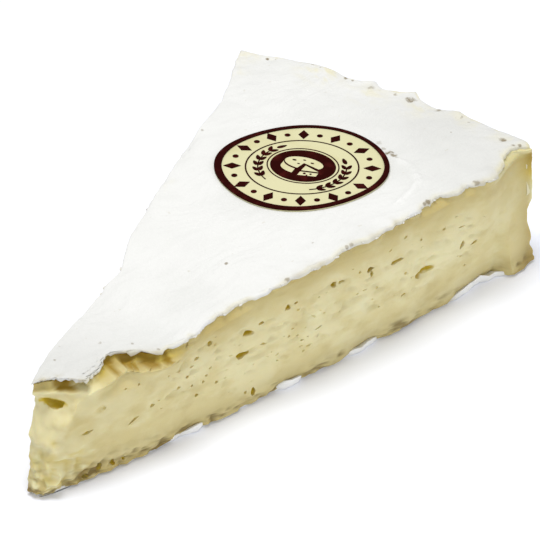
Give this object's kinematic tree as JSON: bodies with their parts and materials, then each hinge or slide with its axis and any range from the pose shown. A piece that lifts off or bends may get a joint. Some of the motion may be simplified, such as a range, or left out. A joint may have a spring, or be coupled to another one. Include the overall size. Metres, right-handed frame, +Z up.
{
  "type": "wedge of brie de meaux cheese",
  "caption": "Wedge cut from a flat round wheel of soft white-rind cheese, lying on its underside, with an oval paper label near the rim",
  "frame": {"origin": "middle of the flat underside, at the bottom centre of the bounding box", "axes": "+X runs from the tip to the curved heel, +Y points to the cut that the picture hides, +Z is up"},
  "size_m": [0.1754, 0.0976, 0.0377],
  "materials": {
    "cheese": "matte",
    "label": "matte"
  },
  "bodies": {
    "root": {"cheese": "cheese", "label": "label"}
  },
  "joints": []
}
